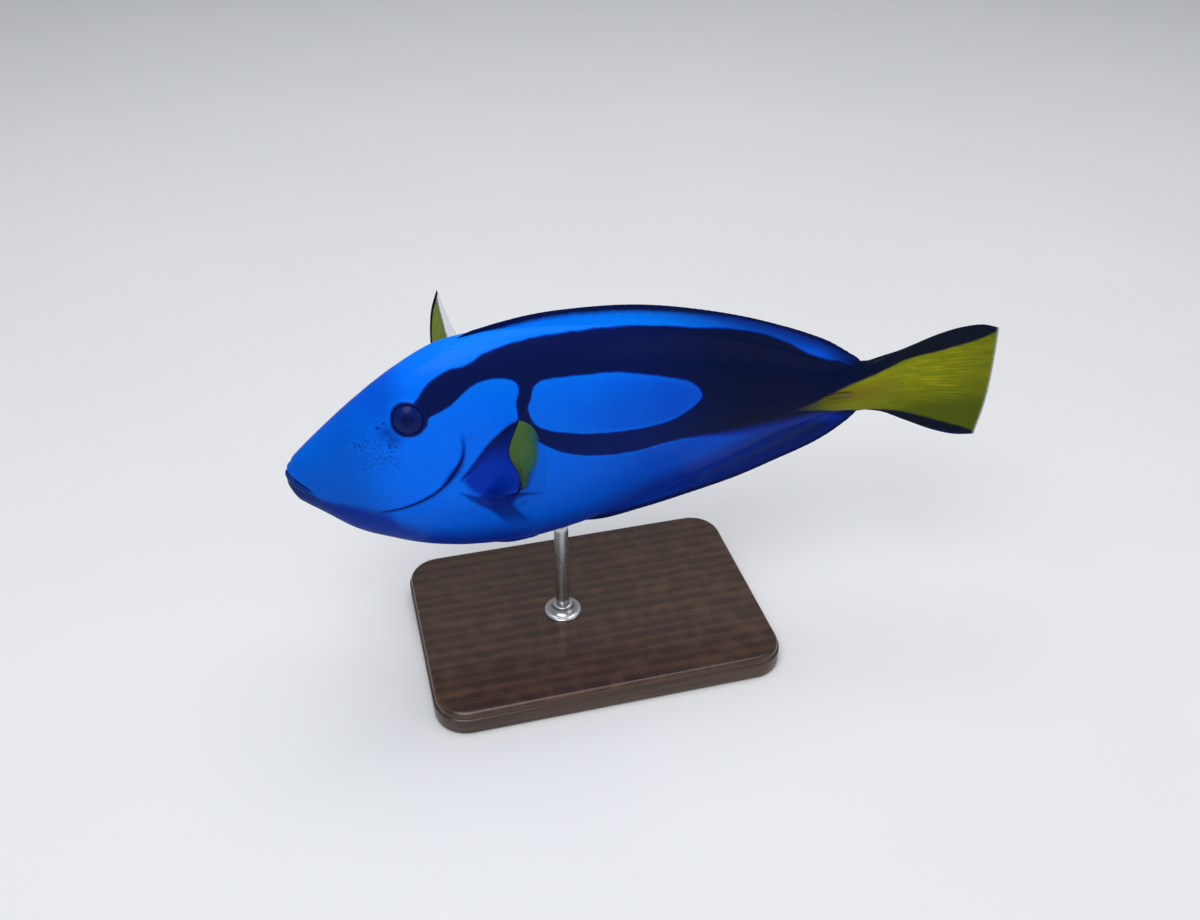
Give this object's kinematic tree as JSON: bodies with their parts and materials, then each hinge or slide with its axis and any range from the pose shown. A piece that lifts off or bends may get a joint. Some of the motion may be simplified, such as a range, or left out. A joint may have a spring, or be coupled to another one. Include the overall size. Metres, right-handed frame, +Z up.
{
  "type": "regal blue tang display model",
  "caption": "Life-size regal blue tang in a swimming pose, pectoral fins raised and tail swinging left, held level by one short rod on a flat base.",
  "frame": {"origin": "middle of the underside of the stand's base, on the floor", "axes": "+X from the head to the tail, +Y to the fish's right flank, +Z up"},
  "size_m": [0.2481, 0.088, 0.1365],
  "materials": {
    "skin": "wet satin skin with very fine scales, azure with navy-black markings",
    "blue_fin": "thin satin web over raised rays, blue with a black border",
    "tail_fin": "thin satin web over raised rays, yellow with black borders",
    "pectoral_fin": "thin satin web over raised rays, dark blue base, yellow blade, clear rear edge",
    "eye": "polished, dark iris and black pupil",
    "blade": "smooth horn",
    "stand_wood": "dark stained, satin lacquer",
    "stand_steel": "brushed"
  },
  "bodies": {
    "root": {"head": "skin", "lower_jaw": "skin", "trunk": "skin", "tail_stem": "skin", "dorsal_fin": "blue_fin", "anal_fin": "blue_fin", "tail_fin": "tail_fin", "pectoral_fin_left": "pectoral_fin", "pectoral_fin_right": "pectoral_fin", "pelvic_fin_left": "blue_fin", "pelvic_fin_right": "blue_fin", "eye_left": "eye", "eye_right": "eye", "tail_blade_left": "blade", "tail_blade_right": "blade", "stand_base": "stand_wood", "stand_rod": "stand_steel"}
  },
  "joints": []
}
